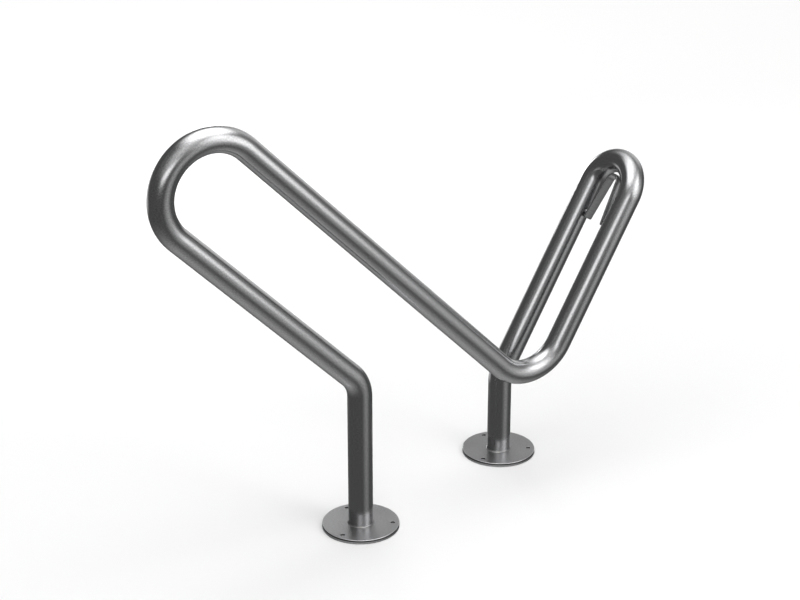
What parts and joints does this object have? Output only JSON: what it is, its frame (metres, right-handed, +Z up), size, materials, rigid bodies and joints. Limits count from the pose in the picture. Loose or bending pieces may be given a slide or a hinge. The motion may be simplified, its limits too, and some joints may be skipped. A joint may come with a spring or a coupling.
{
  "type": "hoop bike rack",
  "caption": "Floor-mounted bicycle rack bent from a single tube, with a sloping lean hoop, a wheel hoop with a bent tyre strip, and round bolt-down base plates.",
  "frame": {"origin": "centre of the underside of the base plate below the lean hoop, at ground level", "axes": "+X along the rack, from the lean hoop towards the wheel hoop; +Y across it, towards the wheel hoop's rear leg; +Z up"},
  "size_m": [1.1077, 0.272, 0.8726],
  "materials": {
    "tube": "satin",
    "plate": "satin",
    "weld": "satin",
    "strip": "satin"
  },
  "bodies": {
    "root": {"rack_tube": "tube", "lean_base_plate": "plate", "wheel_base_plate": "plate", "lean_foot_weld": "weld", "wheel_foot_weld": "weld", "tyre_strip": "strip", "near_strip_stud": "strip", "far_strip_stud": "strip"}
  },
  "joints": []
}
